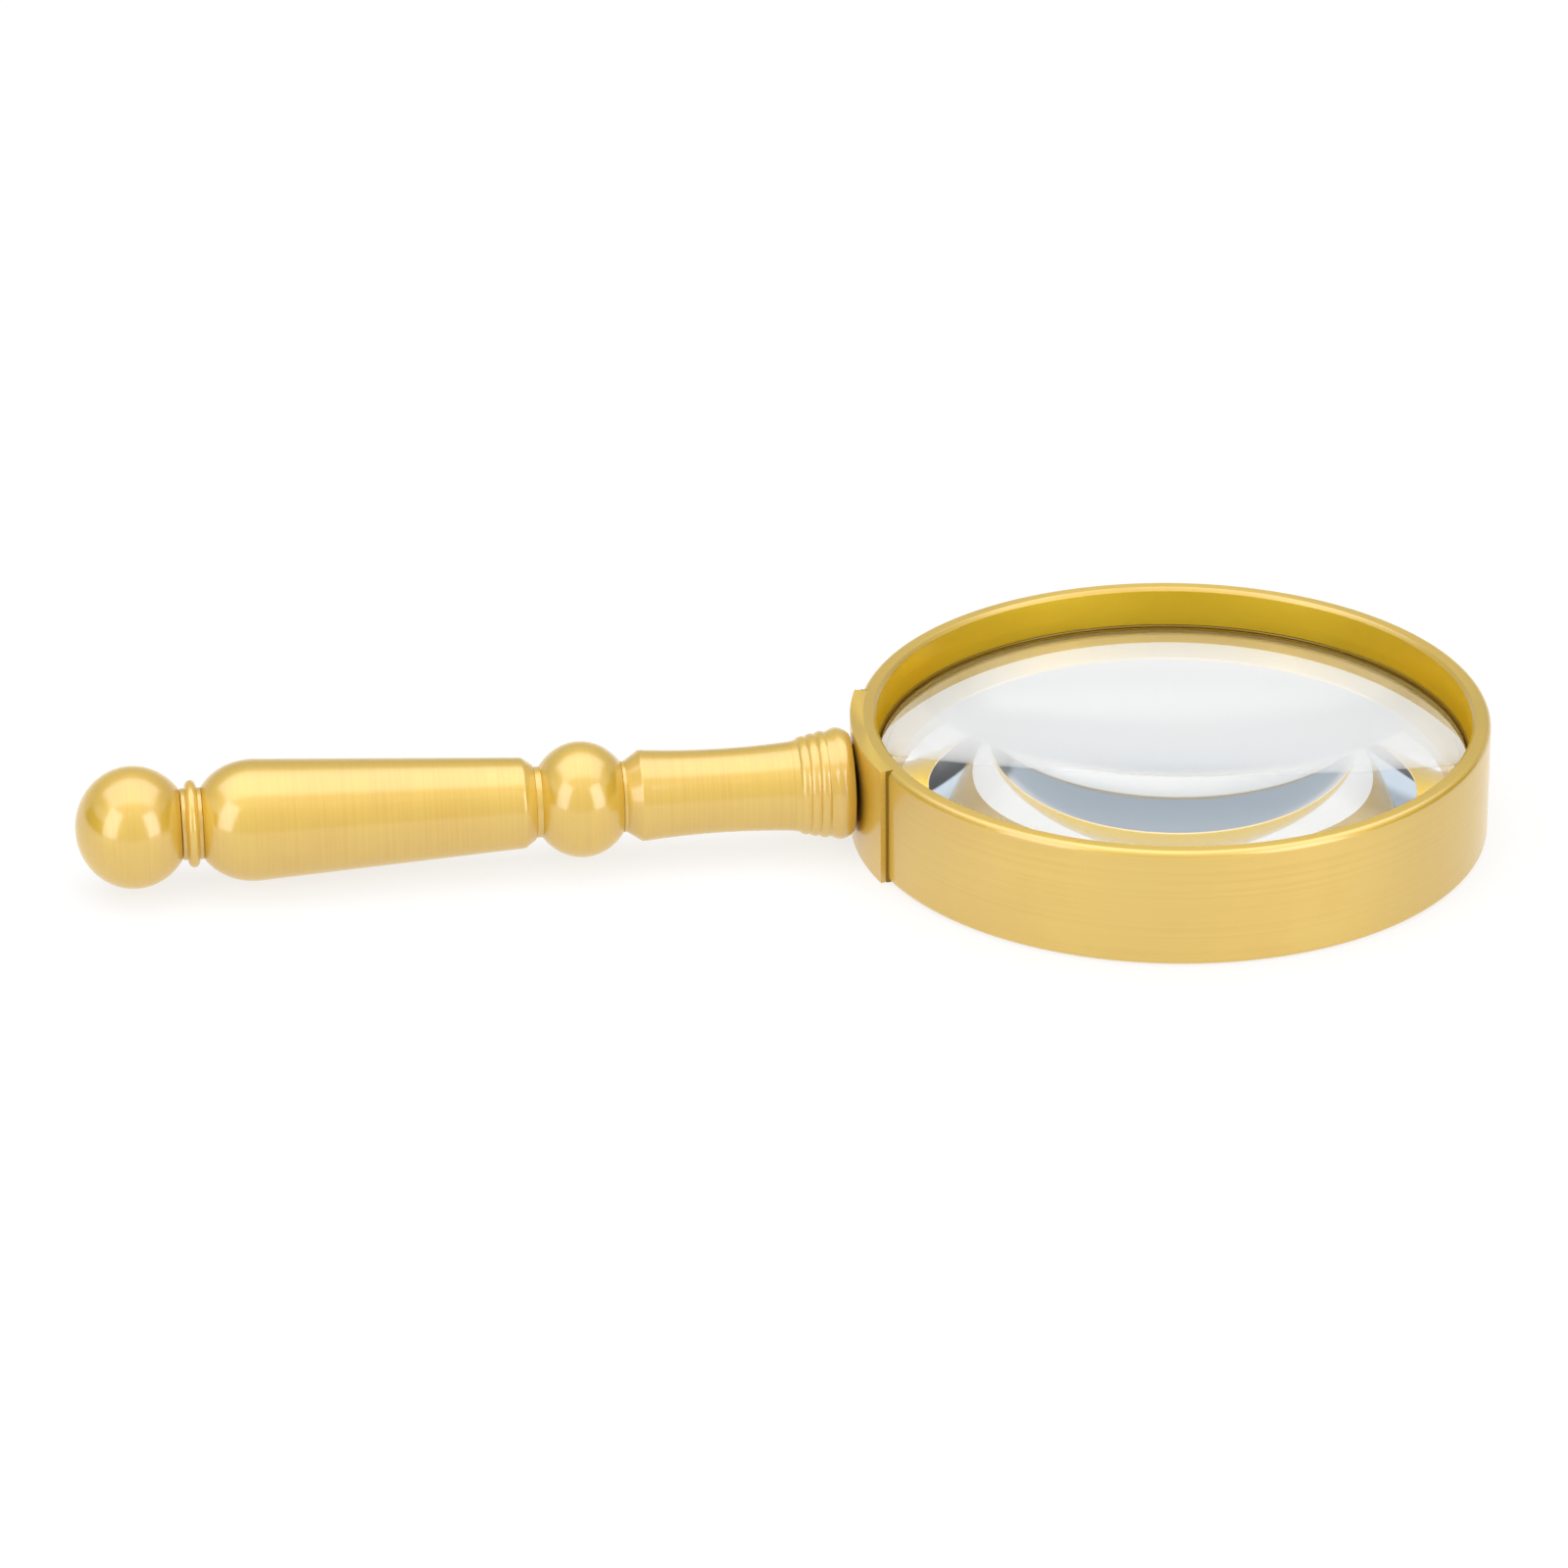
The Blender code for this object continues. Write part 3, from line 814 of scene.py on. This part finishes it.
def studio_walls(tree, sideways, x, y, z):
    """Pale in front, dim blue-grey behind, pale blue at the sides over dark gaps, pale above."""
    # The dark gaps reach a little higher on the right (+X)
    above_gap = smooth_step(tree, maths(tree, "MULTIPLY_ADD", x, GAP_SLOPE, z), *GAP_TO_SIDE)
    sides = mixed(tree, above_gap, WALL_GAP, WALL_SIDE)
    behind = mixed(tree, smooth_step(tree, z, *LOW_TO_BACK), WALL_LOW, WALL_BACK)
    walls = mixed(tree, smooth_step(tree, y, *FRONT_TO_BACK), WALL_FRONT, behind)
    walls = mixed(tree, smooth_step(tree, sideways, *FRONT_TO_SIDE), walls, sides)
    return mixed(tree, smooth_step(tree, z, *WALL_TO_CEILING), walls, CEILING)


def overhead_panel(tree, sideways, y, z):
    """1 on the soft-edged panel, which runs from the front over the top, and 0 off it."""
    over = maths(tree, "ARCTAN2", z, maths(tree, "MULTIPLY", y, -1.0))
    panel = smooth_step(tree, over, *map(math.radians, PANEL_FRONT_EDGE))
    past_back = smooth_step(tree, over, *map(math.radians, PANEL_BACK_EDGE))
    past_side = smooth_step(tree, sideways, *PANEL_SIDE_EDGE)
    for outside in (past_back, past_side):
        panel = maths(tree, "MULTIPLY", panel, maths(tree, "SUBTRACT", 1.0, outside))
    return panel


def make_world():
    """The studio's walls, ceiling and overhead panel, and the plain backdrop."""
    world = bpy.data.worlds.new("studio_walls")
    world.use_nodes = True
    tree = world.node_tree
    split = node(tree, "ShaderNodeSeparateXYZ")
    tree.links.new(node(tree, "ShaderNodeTexCoord").outputs["Generated"], split.inputs[0])
    x, y, z = split.outputs
    sideways = maths(tree, "ABSOLUTE", x)
    walls = studio_walls(tree, sideways, x, y, z)
    studio = mixed(tree, overhead_panel(tree, sideways, y, z), walls, PANEL)

    # Past the floor's far edge the camera sees plain white paper, not the studio's walls
    is_camera = node(tree, "ShaderNodeLightPath").outputs["Is Camera Ray"]
    seen = mixed(tree, is_camera, studio, BACKDROP)
    tree.links.new(seen, tree.nodes["Background"].inputs["Color"])
    bpy.context.scene.world = world


def make_floor():
    """A wide sheet of paper just under the object."""
    bm = bmesh.new()
    bmesh.ops.create_grid(bm, x_segments=2, y_segments=2, size=FLOOR_HALF_SIZE)
    mesh = bpy.data.meshes.new("floor")
    bm.to_mesh(mesh)
    bm.free()
    floor = bpy.data.objects.new("floor", mesh)
    floor.location.z = -FLOOR_DROP
    material, _, shader = new_material("floor_paper")
    shader.inputs["Base Color"].default_value = (*FLOOR_COLOUR, 1.0)
    shader.inputs["Emission Color"].default_value = (*FLOOR_GLOW_COLOUR, 1.0)
    shader.inputs["Emission Strength"].default_value = FLOOR_GLOW
    shader.inputs["Roughness"].default_value = FLOOR_ROUGHNESS
    shader.inputs["Specular IOR Level"].default_value = FLOOR_SPECULAR
    mesh.materials.append(material)
    bpy.context.scene.collection.objects.link(floor)


def make_studio():
    """Everything round the object: camera, surroundings, lights and floor."""
    make_camera()
    make_world()
    for softbox in SOFTBOXES:
        make_softbox(*softbox)
    make_floor()
    scene = bpy.context.scene
    scene.view_settings.view_transform = "Standard"
    scene.cycles.max_bounces = GLASS_BOUNCES
    scene.cycles.transmission_bounces = GLASS_BOUNCES
    scene.cycles.glossy_bounces = GLOSSY_BOUNCES


def main():
    satin = brass("satin_brass", BRASS, roughness=0.7, lines=(2600.0, 60.0, 0.0000005))
    brushed = brass(
        "brushed_brass", BRASS, roughness=0.7, lines=(3200.0, 50.0, 0.0000012), anisotropy=0.2
    )
    ring_satin = brass(
        "ring_brass", BRASS, roughness=0.65, lines=(3000.0, 12.0, 0.0000003), anisotropy=0.3
    )
    # The wall inside the ring: thinly lacquered brass, made lighter as painted light
    ring_inside = brass(
        "bare_brass_painted_light", BARE_BRASS_PAINTED_LIGHT, roughness=0.5, lines=(3000.0, 12.0, 0.0000006), lacquer=0.15
    )
    # Brass made dark as painted shade: for the wire in its groove and the strips at the saddle's ends
    shade_darkened_brass = brass(
        "shade_darkened_brass", SHADE_DARKENED_BRASS, roughness=0.6, lines=(3000.0, 60.0, 0.0000006), lacquer=0.2
    )
    ground_edge_brass_reflection = grained("ground_edge_brass_reflection", GROUND_EDGE_BRASS_REFLECTION, roughness=0.7, grain_scale=2400.0)
    fibre = grained("pressed_fibre", FIBRE, roughness=0.8, grain_scale=1800.0)
    rubber = grained("amber_rubber", RUBBER, roughness=0.4, grain_scale=2400.0)
    steel = grained("machined_steel", STEEL, roughness=0.3, grain_scale=2000.0, metallic=1.0)

    make_frame_ring(ring_satin, ring_inside)
    make_lens(lens_glass(), ground_edge_brass_reflection)
    make_snap_wire(shade_darkened_brass)
    make_saddle(ring_satin, shade_darkened_brass)
    make_washer(fibre)
    make_ferrule(satin)
    make_front_grip(brushed)
    make_collar("front_collar", "front_neck_collar", FRONT_GRIP_BACK, KNUCKLE_FRONT, satin)
    make_knuckle(satin)
    make_collar("rear_collar", "rear_neck_collar", KNUCKLE_BACK, REAR_GRIP_FRONT, satin)
    make_rear_grip(brushed)
    make_bead(satin)
    make_pommel(satin)

    # These CAD nodes keep their shapes and get better materials
    for name, material in (("lens_gasket", rubber), ("handle_screw", steel), ("tie_rod", steel)):
        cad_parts[name].data.materials.clear()
        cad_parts[name].data.materials.append(material)
    make_studio()


main()
